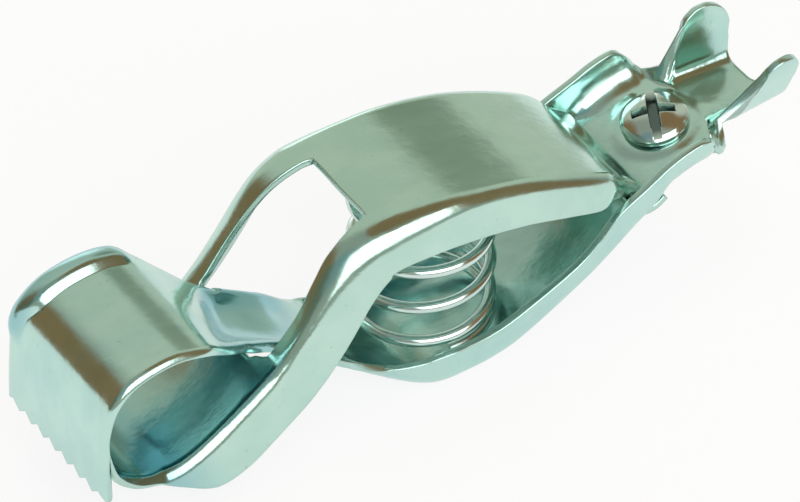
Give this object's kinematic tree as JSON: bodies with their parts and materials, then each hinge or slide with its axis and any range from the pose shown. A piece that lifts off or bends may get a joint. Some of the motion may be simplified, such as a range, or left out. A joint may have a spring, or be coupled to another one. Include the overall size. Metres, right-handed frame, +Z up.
{
  "type": "battery clip",
  "caption": "Plated sheet-steel spring clip with crossed handles, toothed jaws and a screw terminal with two wire ears.",
  "frame": {"origin": "on the flat under the belly of the lower handle, below the middle of the coil spring", "axes": "+X from the jaws back to the wire terminal, +Z up from the lower handle to the upper handle, +Y across the clip"},
  "size_m": [0.0805, 0.0192, 0.0235],
  "materials": {
    "lower_plate": "bright zinc plate",
    "upper_plate": "bright zinc plate",
    "spring_wire": "bright plated wire",
    "screw_plate": "bright zinc plate"
  },
  "bodies": {
    "lower": {"lower_handle": "lower_plate", "coil_spring": "spring_wire"},
    "upper": {"upper_handle": "upper_plate"},
    "screw": {"terminal_screw": "screw_plate"}
  },
  "joints": [
    {"name": "jaw_open", "type": "hinge", "parent": "lower", "child": "upper", "pos_m": [0.0213, 0, 0.0102], "axis": [0, -1, 0], "range_deg": [0, 22], "stiffness_Nm_per_rad": 0.9, "springref_deg": -10.89, "deforming": ["coil_spring"]},
    {"name": "screw_undo", "type": "slide", "parent": "lower", "child": "screw", "axis": [-0.1817, 0, 0.9834], "range_m": [0, 0.003]}
  ]
}
